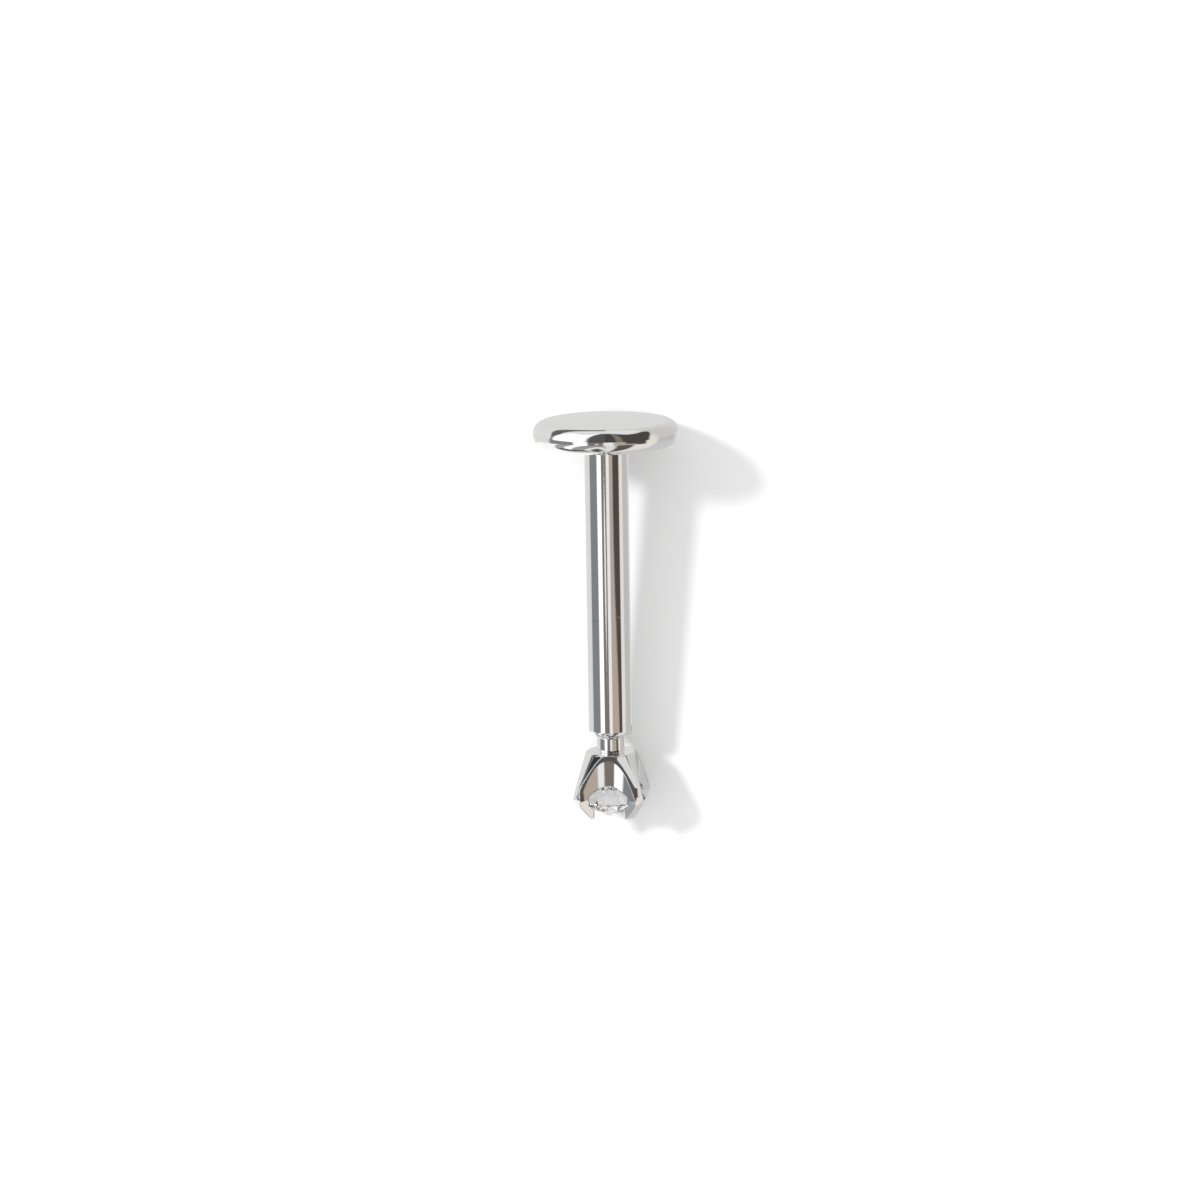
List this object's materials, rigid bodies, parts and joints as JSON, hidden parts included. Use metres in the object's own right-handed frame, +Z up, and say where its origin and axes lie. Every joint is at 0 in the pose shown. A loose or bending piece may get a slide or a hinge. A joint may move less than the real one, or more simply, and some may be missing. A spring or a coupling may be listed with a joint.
{
  "type": "labret stud",
  "caption": "Flat-backed labret stud lying on its side: disc and plain post, plug-in claw head with a round brilliant.",
  "frame": {"origin": "on the surface the stud lies on, under the middle of its box", "axes": "+Z up from that surface, +Y along the stud towards its disc, -Y towards its stone, +X to the right when looking down with the disc at the top"},
  "size_m": [0.004, 0.0112, 0.004],
  "materials": {
    "polished_metal": "mirror polish",
    "clear_stone": "cut and polished"
  },
  "bodies": {
    "root": {"labret_post": "polished_metal", "claw_setting": "polished_metal", "stone": "clear_stone"}
  },
  "joints": []
}
